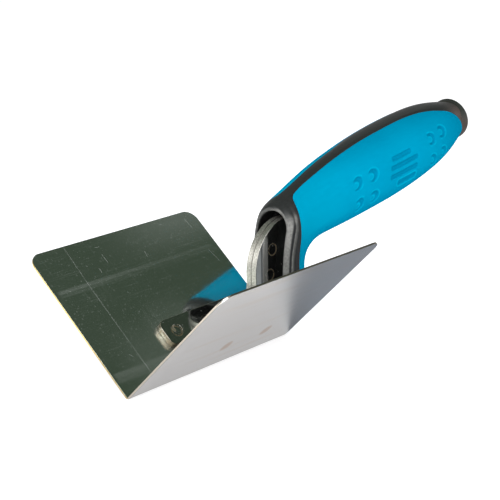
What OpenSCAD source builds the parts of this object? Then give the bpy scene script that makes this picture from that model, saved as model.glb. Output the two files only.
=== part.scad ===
// Internal corner trowel: one folded stainless blade, a two-plate tang spot-welded
// to both wings, and a two-material handle with a rounded end cap.
// The tool is drawn with its fold along +X, the open side of the fold up, and the
// handle above it. The origin is the middle of the overall length, on the centre
// plane, level with the bottom of the fold.

/* [Blade] */
// Length of the blade along its fold, 4 in nominal
blade_l = 102; // [95:0.5:110]
// Width of each wing from the fold to its free edge, 3 in nominal
wing_w = 76; // [68:0.5:84]
// Sheet thickness
blade_t = 0.8; // [0.6:0.1:1.2]
// Angle between the two wings, a little over square so that the plaster is pressed into the corner
wing_angle = 93.5; // [90:0.5:96]
// Outside radius of the fold
fold_r = 1.3; // [1.3:0.1:2.5]
// Radius of the four free corners
corner_r = 6; // [2:0.5:12]

/* [Tang] */
// Thickness of each tang plate
tang_t = 2.8; // [2:0.1:3]
// Distance from the fold to the inner edge of each welded foot
foot_in = 14; // [13:0.5:15]
// Width of each welded foot
foot_w = 12.5; // [11:0.5:14]
// Where the rounded toe of each foot starts, from the front of the blade
foot_x0 = 36.5; // [34:0.5:40]
// Where each foot ends, under the front of the handle
foot_x1 = 97; // [90:0.5:100]
// Where the part of the foot that turns up to the shank starts
bracket_x0 = 58; // [55:0.5:62]
// Radius of the swept front edge of the shank
shank_r = 22.5; // [21:0.5:24]
// Diameter of the spot-weld dimples
weld_d = 6; // [4:0.5:7]
// Depth of the spot-weld dimples
weld_depth = 0.3; // [0.2:0.1:0.6]

/* [Handle] */
// Height of the bottom of the handle above the fold
leg_z = 22; // [21.5:0.5:23]
// Half width of the opening in the front of the handle that the shank enters
slot_half = 8; // [7:0.25:8.5]
// Height of the top of that opening
slot_top = 59.6; // [58.5:0.2:60]
// Thickness of the outer skin over the core
skin = 3.4; // [3:0.1:4]
// Half width of the charcoal band along the top
band_half = 5; // [4:0.25:6]
// Diameter of the two pins through the core and the tang
pin_d = 4; // [3:0.5:5]

/* [End cap] */
// Diameter of the end cap
cap_d = 21.2; // [20:0.2:22]
// Length of the end cap's cylindrical edge
cap_edge = 3.6; // [3:0.2:4]
// Diameter of the spigot that holds the end cap in the core
spigot_d = 8; // [6:0.5:9]

/* [Hidden] */
$fn = 48;

half_angle = wing_angle / 2;
// The fold's arc: its centre lies on the bisector, and it meets each wing's plate here
fold_z = fold_r / sin(half_angle);
tangent_s = fold_z * cos(half_angle);
fold_drop = fold_z - fold_r;
overall_x = 246.6;

// Handle sections, from the bottom of the leg to the butt: the point on the grip's
// underside, the point on its top, and the half width between them.
// [under x, under z, top x, top z, half width]
sections = [
    [109,   leg_z, 89.5,  leg_z, 11.3],
    [109,   31.5,  90,    32.5,  11.3],
    [110.5, 38.5,  91,    43,    11.5],
    [116,   42.5,  92.5,  52,    12],
    [123,   43.7,  96.5,  60.3,  12.3],
    [131.5, 44.3,  108,   66,    12.3],
    [144,   45.5,  126.5, 73.2,  13],
    [158.5, 48,    149,   79,    15.5],
    [178.5, 51.6,  173.5, 84,    17.4],
    [200,   56.5,  199.5, 88,    17.6],
    [219.5, 62,    218,   89.8,  15.5],
    [234.5, 67.8,  229,   89.6,  12],
    [242,   71,    237,   88.8,  9.3]];
last = len(sections) - 1;
steps = 3;      // slices between two sections
ring_n = 28;    // points round each slice
fullness = 2.6; // exponent of the slices' superellipse

function mix(a, b, c, d, t) =
    0.5 * (2*b + (c - a)*t + (2*a - 5*b + 4*c - d)*t*t + (3*b - a - 3*c + d)*t*t*t);
function section(i, t) = mix(
    i > 0 ? sections[i - 1] : 2*sections[0] - sections[1],
    sections[i], sections[i + 1],
    i + 2 <= last ? sections[i + 2] : 2*sections[last] - sections[last - 1], t);
slices = [for (i = [0:last - 1], k = [0:steps - 1]) section(i, k / steps), sections[last]];
function up(s) = let (v = [s[2] - s[0], s[3] - s[1]]) v / norm(v);

module place() { translate([-overall_x / 2, 0, -fold_drop]) children(); }

// A plate lying along one wing: x along the fold, y away from the fold, z off the wing's outer face
module on_wing(side) {
    mirror([0, side > 0 ? 0 : 1, 0])
        rotate([90 - half_angle, 0, 0]) children();
}

// Points along an arc about c, from angle a0 to a1
function arc(c, r, a0, a1, n = 12) = [for (i = [0:n]) let (a = a0 + (a1 - a0)*i/n) c + r*[cos(a), sin(a)]];

// Section of the folded sheet, in y and z: down the outside, round the fold, and back inside
function sheet_half(h) = let (k = [sin(half_angle), cos(half_angle)], n = [-cos(half_angle), sin(half_angle)])
    wing_w*k + h*n;
function flip(p) = [-p[0], p[1]];

module blade() color("silver") place() difference() {
    rotate([90, 0, 90]) linear_extrude(blade_l) polygon(concat(
        [flip(sheet_half(0))],
        arc([0, fold_z], fold_r, 180 + half_angle, 360 - half_angle, 16),
        [sheet_half(0), sheet_half(blade_t)],
        arc([0, fold_z], fold_r - blade_t, 360 - half_angle, 180 + half_angle, 16),
        [flip(sheet_half(blade_t))]));
    // the rounded free corners
    for (side = [-1, 1], end = [0, 1]) on_wing(side)
        translate([end*blade_l, wing_w, -1]) mirror([end, 0, 0]) linear_extrude(blade_t + 2)
            polygon(concat([[-1, -corner_r]], arc([corner_r, -corner_r], corner_r, 180, 90, 10),
                           [[corner_r, 1], [-1, 1]]));
}

// Side view of the shank and tail, drawn in x and z: up the swept front edge, back along
// the tail in the handle, and down the edge inside the leg
module shank_side() polygon(concat(
    [[71, 21]],
    arc([71, 30.5], 9, -90, 0, 8),
    arc([80 + shank_r, 56 - shank_r], shank_r, 180, 90, 16),
    [[118, 58.6], [150, 66], [204, 76.5], [206.5, 74.5], [206.5, 70], [204, 68],
     [150, 56], [118, 50], [104, 44], [104, 21]]));

// One tang plate: the shank beside the centre plane, turned out at the bottom on to the wing
module tang_plate(side) {
    k = [sin(half_angle), cos(half_angle)];   // along the wing, in y and z
    n = [-cos(half_angle), sin(half_angle)];  // off the wing
    function w(s, h) = s*k + h*n;
    s0 = foot_in + 0.2;
    s1 = foot_in + tang_t;
    difference() {
        union() {
            // shank
            translate([0, side > 0 ? tang_t : 0, 0]) rotate([90, 0, 0])
                linear_extrude(tang_t) shank_side();
            // bracket between the shank and the foot
            translate([bracket_x0, 0, 0]) rotate([90, 0, 90]) linear_extrude(foot_x1 - 1 - bracket_x0)
                mirror([side > 0 ? 0 : 1, 0])
                    polygon([w(s0, blade_t + 1), w(s0, s0*tan(half_angle)), [0, 22], [2, 22],
                             w(s1, s1*tan(half_angle) - tang_t/cos(half_angle) - 0.5), w(s1, blade_t + 1)]);
            // foot, with a round toe
            on_wing(side) translate([0, 0, blade_t]) linear_extrude(tang_t) polygon(concat(
                arc([foot_x0 + foot_w/2, foot_in + foot_w/2], foot_w/2, 270, 90, 24),
                arc([foot_x1 - 3, foot_in + foot_w - 3], 3, 90, 0, 8),
                [[foot_x1, foot_in]]));
        }
        // spot-weld dimples in the foot and in the shank
        on_wing(side) for (x = [44.5, 70.5])
            translate([x, foot_in + foot_w/2, blade_t + tang_t - weld_depth]) cylinder(d = weld_d, h = 2);
        for (p = [[92, 43.3], [89.7, 32.1]])
            translate([p[0], side * (tang_t - weld_depth), p[1]])
                rotate([side > 0 ? -90 : 90, 0, 0]) cylinder(d = weld_d, h = 2);
        // holes for the two pins in the tail
        for (p = pin_places) translate([p[0], 0, p[1]]) rotate([90, 0, 0])
            cylinder(d = pin_d, h = 20, center = true);
    }
}
pin_places = [[135, 58], [185, 68]];
pin_half = 10;

module tang_plate_left() color("gainsboro") place() tang_plate(1);
module tang_plate_right() color("gainsboro") place() tang_plate(-1);

module tang_pins() color("gray") place()
    for (p = pin_places) translate([p[0], 0, p[1]]) rotate([90, 0, 0])
        cylinder(d = pin_d, h = 2*pin_half, center = true);

// Side view of the handle, shrunk inwards by d, from slice a to slice b
function side_view(d, a, b) = concat(
    [for (i = [a:b]) [slices[i][0], slices[i][1]] + d*up(slices[i])],
    [for (i = [b:-1:a]) [slices[i][2], slices[i][3]] - d*up(slices[i])]);

// The core's front face, behind the opening
module slot_side() polygon([[60, 0], [100, 0], [100, 42], [106, 57], [106, 100], [60, 100]]);

module core_solid() {
    difference() {
        union() {
            rotate([90, 0, 0]) linear_extrude(2*slot_half, center = true) difference() {
                polygon(side_view(skin, 0, last*steps));
                slot_side();
            }
            // wider belly inside the palm swell
            rotate([90, 0, 0]) linear_extrude(2*11.5, center = true)
                polygon(side_view(skin + 3.4, 7*steps, 10*steps));
        }
    }
}

module cap_axis() { translate([242.7, 0, 79.6]) rotate([0, 79, 0]) children(); }

module handle_core() color("#1b1c1d") place() difference() {
    core_solid();
    // slot for the two plates of the tang
    rotate([90, 0, 0]) linear_extrude(2*tang_t, center = true) shank_side();
    for (p = pin_places) translate([p[0], 0, p[1]]) rotate([90, 0, 0])
        cylinder(d = pin_d, h = 2*pin_half, center = true);
    // socket for the end cap's spigot
    cap_axis() translate([0, 0, -cap_edge - 14]) cylinder(d = spigot_d, h = 30);
    // square end behind the cap's face
    cap_axis() translate([0, 0, -cap_edge]) cylinder(d = 60, h = 30);
}

module slice(s) {
    c = [(s[0] + s[2])/2, (s[1] + s[3])/2];
    b = norm([s[2] - s[0], s[3] - s[1]]) / 2;
    tilt = atan2(s[2] - s[0], s[3] - s[1]);
    translate([c[0], 0, c[1]]) rotate([0, tilt, 0]) rotate([90, 0, 90])
        linear_extrude(0.02, center = true)
            polygon([for (j = [0:ring_n - 1]) let (a = 360*j/ring_n)
                [s[4]*sign(sin(a))*pow(abs(sin(a)), 2/fullness),
                 b*sign(cos(a))*pow(abs(cos(a)), 2/fullness)]]);
}

// Outer form of the handle, as a chain of blended slices
module handle_form() for (i = [0:len(slices) - 2]) hull() { slice(slices[i]); slice(slices[i + 1]); }

// The skin: the outer form less the core and the opening for the shank
module skin_form() difference() {
    handle_form();
    core_solid();
    // arched opening
    translate([60, 0, 0]) rotate([90, 0, 90]) linear_extrude(44) {
        translate([-slot_half, 0]) square([2*slot_half, slot_top - slot_half - 2]);
        translate([0, slot_top - slot_half - 2]) scale([1, 1.25]) circle(slot_half);
    }
    // room for the cap
    cap_axis() translate([0, 0, -cap_edge]) cylinder(d = 60, h = 30);
    // flat bottom
    translate([80, -30, leg_z - 5]) cube([50, 60, 5]);
}

// The region of the charcoal rubber: collar, band along the top, and tail
module charcoal_region() {
    // collar, up to the edge that sweeps back from the leg over the top
    rotate([90, 0, 0]) linear_extrude(60, center = true)
        polygon([[60, 0], [100.5, 0], [100.5, 34], [102, 42], [102.5, 50], [101, 58], [99, 64], [97, 80], [60, 80]]);
    // band along the top
    rotate([90, 0, 0]) linear_extrude(2*band_half, center = true)
        polygon([[96, 58], [112, 62], [150, 68], [200, 75], [240, 82], [240, 110], [96, 110]]);
    // tail
    rotate([90, 0, 0]) linear_extrude(60, center = true)
        polygon([[222, 110], [226, 95], [232, 86], [235.5, 79], [237, 70], [238, 40], [260, 40], [260, 110]]);
}

module charcoal_overmould() color("#3c4143") place() intersection() {
    skin_form();
    charcoal_region();
}

module blue_grip() color("#00a0cf") place() difference() {
    skin_form();
    charcoal_region();
}

module end_cap() color("#3d4038") place() cap_axis() rotate_extrude()
    polygon([[0, -cap_edge - 13], [spigot_d/2 - 0.8, -cap_edge - 13], [spigot_d/2, -cap_edge - 12],
             [spigot_d/2, -cap_edge], [cap_d/2 - 0.6, -cap_edge], [cap_d/2, -cap_edge + 0.6],
             [cap_d/2, 0], [cap_d/2 - 0.8, 1.2], [cap_d/2 - 3, 2.4], [cap_d/2 - 6, 3.1], [0, 3.5]]);

blade();
tang_plate_left();
tang_plate_right();
tang_pins();
handle_core();
charcoal_overmould();
blue_grip();
end_cap();
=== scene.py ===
import math

import bmesh
import bpy
import numpy as np
from mathutils import Matrix, Vector, kdtree


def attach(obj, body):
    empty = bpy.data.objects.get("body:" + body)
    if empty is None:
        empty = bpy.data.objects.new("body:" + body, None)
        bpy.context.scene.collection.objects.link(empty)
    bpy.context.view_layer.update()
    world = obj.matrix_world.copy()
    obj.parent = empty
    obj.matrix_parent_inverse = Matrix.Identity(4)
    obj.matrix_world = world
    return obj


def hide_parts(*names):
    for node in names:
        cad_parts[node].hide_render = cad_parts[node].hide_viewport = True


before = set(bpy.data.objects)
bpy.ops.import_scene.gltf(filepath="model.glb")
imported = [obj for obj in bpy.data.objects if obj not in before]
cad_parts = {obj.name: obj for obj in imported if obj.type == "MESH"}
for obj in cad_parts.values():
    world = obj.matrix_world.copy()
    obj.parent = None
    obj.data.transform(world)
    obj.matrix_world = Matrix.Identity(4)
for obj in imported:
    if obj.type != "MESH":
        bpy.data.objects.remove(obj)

# ---------------------------------------------------------------- dimensions
# Tool frame in mm, as in the CAD: x along the fold from the blade's front end,
# z = 0 at the fold's sharp outer corner. row() takes it to the frame, in metres.
HALF = math.radians(46.75)
SH, CH = math.sin(HALF), math.cos(HALF)
BLADE_L, WING_W, BLADE_T, FOLD_R, CORNER_R = 102.0, 76.0, 0.8, 1.3, 6.0
FOLD_Z = FOLD_R / SH
DROP = FOLD_Z - FOLD_R
ORIGIN = np.array([123.3, 0.0, DROP])


def row(p):
    return (np.asarray(p, float) - ORIGIN) / 1000.0


# ---------------------------------------------------------------- mesh helpers
def link(ob):
    bpy.context.scene.collection.objects.link(ob)
    return ob


def mesh_object(name, verts, faces, merge=0.0, weighted=False, sharp=None, point_values=None):
    """verts in tool mm. One smooth-shaded mesh object in the row frame."""
    me = bpy.data.meshes.new(name)
    me.from_pydata(row(verts).tolist(), [], faces)
    if point_values:
        me.attributes.new(point_values[0], "FLOAT", "POINT").data.foreach_set("value", point_values[1].astype(np.float32))
    bm = bmesh.new()
    bm.from_mesh(me)
    if merge:
        bmesh.ops.remove_doubles(bm, verts=bm.verts, dist=merge / 1000.0)
    bmesh.ops.dissolve_degenerate(bm, edges=bm.edges, dist=1e-7)
    bmesh.ops.recalc_face_normals(bm, faces=bm.faces)
    bm.to_mesh(me)
    bm.free()
    me.shade_smooth()
    if sharp:
        me.set_sharp_from_angle(angle=math.radians(sharp))
    ob = link(bpy.data.objects.new(name, me))
    if weighted:
        mod = ob.modifiers.new("weighted", "WEIGHTED_NORMAL")
        mod.mode, mod.weight, mod.keep_sharp = "FACE_AREA", 60, True
    return ob


def grid_faces(n, m, base=0, close=False):
    out = []
    for i in range(n - 1):
        for j in range(m if close else m - 1):
            k = (j + 1) % m
            out.append((base + i * m + j, base + i * m + k, base + (i + 1) * m + k, base + (i + 1) * m + j))
    return out


def pchip(pts):
    """Monotone cubic through (x, y) points."""
    x, y = np.array(pts, float).T
    h, dl = np.diff(x), np.diff(y) / np.diff(x)
    d = np.zeros_like(y)
    for i in range(1, len(x) - 1):
        if dl[i - 1] * dl[i] > 0:
            w1, w2 = 2 * h[i] + h[i - 1], h[i] + 2 * h[i - 1]
            d[i] = (w1 + w2) / (w1 / dl[i - 1] + w2 / dl[i])
    d[0], d[-1] = dl[0], dl[-1]

    def f(t):
        t = np.clip(np.asarray(t, float), x[0], x[-1])
        i = np.clip(np.searchsorted(x, t) - 1, 0, len(x) - 2)
        u = (t - x[i]) / h[i]
        return ((1 + 2 * u) * (1 - u) ** 2 * y[i] + u * (1 - u) ** 2 * h[i] * d[i]
                + u * u * (3 - 2 * u) * y[i + 1] + u * u * (u - 1) * h[i] * d[i + 1])
    return f


def smooth(x, a, b):
    u = np.clip((np.asarray(x, float) - a) / (b - a), 0, 1)
    return u * u * (3 - 2 * u)


# ---------------------------------------------------------------- handle surface
# Sections from the bottom of the leg to the butt: under x, under z, top x, top z, half width
SEC = np.array([
    [109, 22, 89.5, 22, 11.3], [109, 31.5, 90, 32.5, 11.3], [110.5, 38.5, 91, 43, 11.5], [116, 42.5, 92.5, 52, 12],
    [123, 43.7, 96.5, 60.3, 12.3], [131.5, 44.3, 108, 66, 12.3], [144, 45.5, 126.5, 73.2, 13], [158.5, 48, 149, 79, 15.5],
    [178.5, 51.6, 173.5, 84, 17.4], [200, 56.5, 199.5, 88, 17.6], [219.5, 62, 218, 89.8, 15.5], [234.5, 67.8, 229, 89.6, 12],
    [242, 71, 237, 88.8, 9.3]], float)
PE = 2.6


def natural_spline(y):
    n = len(y)
    a, r = np.zeros((n, n)), np.zeros_like(y)
    a[0, 0] = a[-1, -1] = 1
    for i in range(1, n - 1):
        a[i, i - 1:i + 2] = 1, 4, 1
        r[i] = 6 * (y[i + 1] - 2 * y[i] + y[i - 1])
    m = np.linalg.solve(a, r)

    def f(t):
        i = np.clip(np.floor(t).astype(int), 0, n - 2)
        u = (t - i)[..., None]
        return (m[i] * (1 - u) ** 3 / 6 + m[i + 1] * u ** 3 / 6
                + (y[i] - m[i] / 6) * (1 - u) + (y[i + 1] - m[i + 1] / 6) * u)
    return f


SPLINE = natural_spline(SEC)


def surf(t, th):
    """Point on the handle. t 0..12 from leg bottom to butt; th in radians from the
    top or front line, positive towards -Y."""
    t, th = np.broadcast_arrays(np.asarray(t, float), np.asarray(th, float))
    s = SPLINE(t)
    cx, cz = (s[..., 0] + s[..., 2]) / 2, (s[..., 1] + s[..., 3]) / 2
    ux, uz = s[..., 2] - s[..., 0], s[..., 3] - s[..., 1]
    ln = np.hypot(ux, uz)
    ux, uz, b, w = ux / ln, uz / ln, ln / 2, s[..., 4]
    r = ((np.abs(np.cos(th)) / b) ** PE + (np.abs(np.sin(th)) / w) ** PE) ** (-1 / PE)
    k = r * np.cos(th)
    return np.stack([cx + ux * k, -r * np.sin(th), cz + uz * k], -1)


def surf_frame(t, th):
    """Unit tangents along t and th, and the outward normal."""
    e = 1e-3
    t0, t1 = np.clip(t - e, 0, 12), np.clip(t + e, 0, 12)
    dt = surf(t1, th) - surf(t0, th)
    da = surf(t, th + e) - surf(t, th - e)
    dt /= np.linalg.norm(dt, axis=-1, keepdims=True) + 1e-12
    da /= np.linalg.norm(da, axis=-1, keepdims=True) + 1e-12
    n = np.cross(dt, da)
    n /= np.linalg.norm(n, axis=-1, keepdims=True) + 1e-12
    mid = (surf(t, np.zeros_like(th)) + surf(t, np.full_like(th, np.pi))) / 2
    flip = np.sign(np.sum(n * (surf(t, th) - mid), -1, keepdims=True))
    return dt, da, n * np.where(flip == 0, 1, flip)


# Parting line between the blue grip and the charcoal rubber, and the arched opening
PART_R = pchip([(0, 96), (0.9, 95), (1.45, 93), (2.0, 90), (2.71, 82), (3.49, 66), (4.07, 48), (4.40, 35), (4.62, 24.5), (4.83, 15),
                (5.01, 10.8), (5.36, 9.6), (5.7, 10.7), (6.02, 11.1), (6.46, 10.4), (6.89, 9.1), (7.31, 8.3), (7.7, 9.1), (8.06, 10.3),
                (8.43, 11.3), (8.79, 13.6), (9.14, 18.9), (9.5, 27.6), (9.93, 39.1), (10.3, 47), (10.81, 61), (11.3, 79), (11.57, 93),
                (11.76, 118), (11.86, 150), (11.9, 180)])
PART_L = pchip([(0, 96), (0.9, 95), (1.45, 93), (2.0, 90), (2.71, 82), (3.49, 66), (4.07, 48), (4.40, 35), (4.62, 25), (4.83, 17),
                (5.01, 15.2), (5.3, 14.0), (5.75, 13.6), (6.0, 14.2), (6.3, 16.2), (6.68, 19.4), (7.16, 24.6), (7.6, 33), (8.4, 37.5),
                (8.79, 38.2), (9.14, 38.8), (9.5, 40.0), (9.93, 43.5), (10.3, 49), (10.81, 61), (11.3, 79), (11.57, 93), (11.76, 118),
                (11.86, 150), (11.9, 180)])
T_TAIL = 11.9

# Rim of the opening: an arch in y and z, set further back towards its top
RIM_Z, RIM_A, RIM_B = 51.2, 7.9, 8.3
rim_x = pchip([(20, 94.3), (40, 94.3), (44, 94.6), (48, 95.4), (52, 96.4), (55.6, 97.1), (58.5, 97.5), (60, 97.6)])


def rim(phi):
    """Rim point in y > 0 for phi in 0..90 degrees round the arch."""
    y, z = RIM_A * np.cos(phi), RIM_Z + RIM_B * np.sin(phi)
    return np.stack([rim_x(z), y, z], -1)


def slot_curve():
    """(t, degrees) of the line on the outer surface where the rim's rounding starts."""
    pts = []
    for z in np.linspace(22, RIM_Z, 40)[:-1]:
        pts.append((RIM_A + .75 + .55 * float(smooth(z, 38, RIM_Z)), z))
    for phi in np.linspace(0, math.pi / 2, 60):
        g = 1.3 + .7 * math.sin(phi)
        pts.append(((RIM_A + g) * math.cos(phi), RIM_Z + (RIM_B + g) * math.sin(phi)))
    out = []
    t, a = 0.05, math.radians(50)
    for y, z in pts:
        for _ in range(25):
            f = lambda t, a: surf(np.array(t), np.array(a))
            p = f(t, a)
            r = np.array([-p[1] - y, p[2] - z])
            pt = (f(min(t + 1e-4, 12), a) - f(max(t - 1e-4, 0), a)) / (min(t + 1e-4, 12) - max(t - 1e-4, 0))
            pa = (f(t, a + 1e-4) - f(t, a - 1e-4)) / 2e-4
            J = np.array([[-pt[1], -pa[1]], [pt[2], pa[2]]])
            d = np.clip(np.linalg.solve(J, -r), -.2, .2)
            t, a = float(np.clip(t + d[0], 0, 6)), float(np.clip(a + d[1], 0, 1.4))
            if abs(r).max() < 1e-5:
                break
        out.append((t, math.degrees(a)))
    keep = [out[0]]
    for t, a in out[1:]:
        if t > keep[-1][0] + 1e-4:
            keep.append((t, a))
    keep[-1] = (keep[-1][0], 0.0)
    if keep[0][0] > 0:
        keep.insert(0, (0.0, keep[0][1]))
    return keep


SLOT_PTS = slot_curve()
T_ARCH = SLOT_PTS[-1][0]
SLOT = pchip(SLOT_PTS)


def border(f, t, side, lo=0.0):
    return surf(t, side * np.radians(f(t)))


def spaced(points, step):
    """Resample a polyline at an even step."""
    d = np.concatenate([[0], np.cumsum(np.linalg.norm(np.diff(points, axis=0), axis=1))])
    q = np.arange(0, d[-1], step)
    return np.stack([np.interp(q, d, points[:, k]) for k in range(3)], 1)


def distance_to(points):
    tree = kdtree.KDTree(len(points))
    for i, p in enumerate(points):
        tree.insert(p, i)
    tree.balance()
    return lambda P: np.array([tree.find(p)[2] for p in P.reshape(-1, 3)]).reshape(P.shape[:-1])


def rolled(d, r):
    """Depth of a rounded edge of radius r at distance d from it."""
    q = np.clip(1 - d / r, 0, 1)
    return r * (1 - np.sqrt(1 - q * q))


def strip(tt, a0, a1, m, near=(0, .05, .12, .22, .36, .55, .8)):
    """Rows at tt, each from angle a0 to a1, with columns even in arc length and closer
    at both ends. Returns t, th and points."""
    T, TH = [], []
    u = np.linspace(0, 1, 500)
    near = np.array(near)
    for t, p, q in zip(tt, a0, a1):
        th = p + (q - p) * u
        P = surf(np.full_like(th, t), th)
        s = np.concatenate([[0], np.cumsum(np.linalg.norm(np.diff(P, axis=0), axis=1))])
        L = max(s[-1], 1e-6)
        e = near * min(1, L / 4.0)
        k = m - 2 * len(near)
        mid = e[-1] + (L - 2 * e[-1]) * np.arange(1, k + 1) / (k + 1)
        q_ = np.concatenate([e, mid, (L - e)[::-1]])
        TH.append(np.interp(q_, s, th))
        T.append(np.full(m, t))
    T, TH = np.array(T), np.array(TH)
    return T, TH, surf(T, TH)


def rows_for(pieces):
    """Row parameters: (from, to, count) spans joined."""
    return np.unique(np.concatenate([np.linspace(a, b, n) for a, b, n in pieces]))


EDGE_BLUE, EDGE_RUB, EDGE_SLOT, EDGE_FOOT = 0.32, 0.38, 0.8, 0.7

dense_t = np.unique(np.concatenate([np.linspace(0, 11, 4000), np.linspace(11, T_TAIL, 3000)]))
part_line = np.concatenate([spaced(border(PART_R, dense_t, 1), .03), spaced(border(PART_L, dense_t, -1), .03)])
d_part = distance_to(part_line)
slot_t = np.unique(np.concatenate([np.linspace(0, 3.4, 1500), np.linspace(3.4, T_ARCH, 2500), T_ARCH - np.geomspace(1e-6, .3, 400)]))
slot_line = np.concatenate([spaced(border(SLOT, slot_t, 1), .03), spaced(border(SLOT, slot_t, -1), .03)])
d_slot = distance_to(slot_line)

# ---------------------------------------------------------------- blue grip
# Sunk thumb marks and, between them, three slanted sunk bars, on both sides
CRESCENTS = [(6.46, 74), (6.97, 75), (6.30, 117), (6.87, 114), (8.94, 73), (9.42, 72), (9.02, 108), (9.53, 108)]


GROOVES = [(-6.3, -0.8, 6.2), (-2.1, 0.6, 9.6), (2.1, -0.6, 9.6), (6.3, 0.8, 6.2)]   # across, shift along, half length


def sunk_marks(P):
    """Depth of the marks, and how far a point is into one (-1 on its lip)."""
    h, tone = np.zeros(P.shape[:-1]), np.zeros(P.shape[:-1])

    def press(near, sd, depth, lip, soft, part=1.0):
        nonlocal h, tone
        k = depth * (1 - smooth(sd, -soft, 0.12)) * part
        rim_ = np.exp(-((sd - 0.50) / 0.36) ** 2) * part
        h = np.where(near & (k > h), k, h)
        h = np.where(near & (k < 1e-6) & (h <= 0), np.minimum(h, -lip * rim_), h)
        tone = np.where(near, np.maximum(tone, (1 - smooth(sd, -0.35, 0.05)) * part), tone)
        tone = np.where(near & (tone <= 0), np.minimum(tone, -rim_), tone)
    for side in (1, -1):
        for t, a in CRESCENTS:
            tt, th = np.array(t), np.array(side * math.radians(a))
            c = surf(tt, th)
            e1, e2, n = surf_frame(tt, th)
            e2 = e2 * side
            v = P - c
            x, y = v @ e1, v @ e2
            size = 1.0 if a < 90 else 0.9
            x = x / 1.25
            outer = np.hypot(x, y) - 3.05 * size
            inner = np.hypot(x + 0.95 * size, y - 0.10 * size) - 1.75 * size
            press(np.linalg.norm(v, axis=-1) < 7, np.maximum(outer, -inner), 0.75 if a < 90 else 0.6, 0.09, 0.7, smooth(x / size, -2.9, -0.4))
        tt, th = np.array(7.98), np.array(side * math.radians(91))
        c = surf(tt, th)
        e1, e2, n = surf_frame(tt, th)
        e2 = e2 * side
        v = P - c
        near = np.linalg.norm(v, axis=-1) < 16
        x, y = v @ e1, v @ e2
        for across, shift, ln in GROOVES:
            k = np.clip(x - shift, -ln, ln)
            sd = np.hypot(x - shift - k, y - across) - 1.3
            press(near, sd, 0.70, 0.07, 0.75)
    return h, tone


def build_blue():
    tt = rows_for([(0, .06, 8), (.06, 3.2, 60), (3.2, 5.3, 90), (5.3, 6.1, 30), (6.1, 9.8, 250), (9.8, 11, 50),
                   (11, 11.6, 45), (11.6, 11.8, 40), (11.8, T_TAIL - .002, 45)])
    m = 300
    T, TH, P = strip(tt, np.radians(PART_R(tt)), 2 * np.pi - np.radians(PART_L(tt)), m)
    e1, e2, N = surf_frame(T, TH)
    d_low = P[..., 2] - 22.0
    depth = np.maximum(rolled(d_part(P), EDGE_BLUE), np.where(T < 0.5, rolled(np.maximum(d_low, 0), EDGE_FOOT), 0))
    marks, tone = sunk_marks(P)
    Q = P - N * (depth + marks)[..., None]
    n = len(tt)
    V = [Q.reshape(-1, 3)]
    F = grid_faces(n, m)
    base = n * m
    # skirts down both parting edges
    for col in (0, m - 1):
        ring = P[:, col] - N[:, col] * 1.3
        idx = np.arange(n) * m + col
        V.append(ring)
        F += [(idx[i], idx[i + 1], base + i + 1, base + i) for i in range(n - 1)]
        base += n
    # flat foot, in to the core
    ring = P[0] - N[0] * 3.2
    V.append(ring)
    F += [(j, j + 1, base + j + 1, base + j) for j in range(m - 1)]
    V = np.concatenate(V)
    values = np.zeros(len(V))
    values[:n * m] = tone.reshape(-1)
    return mesh_object("blue_soft_grip_skin", V, F, merge=0.002, point_values=("pressed", values))


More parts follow.
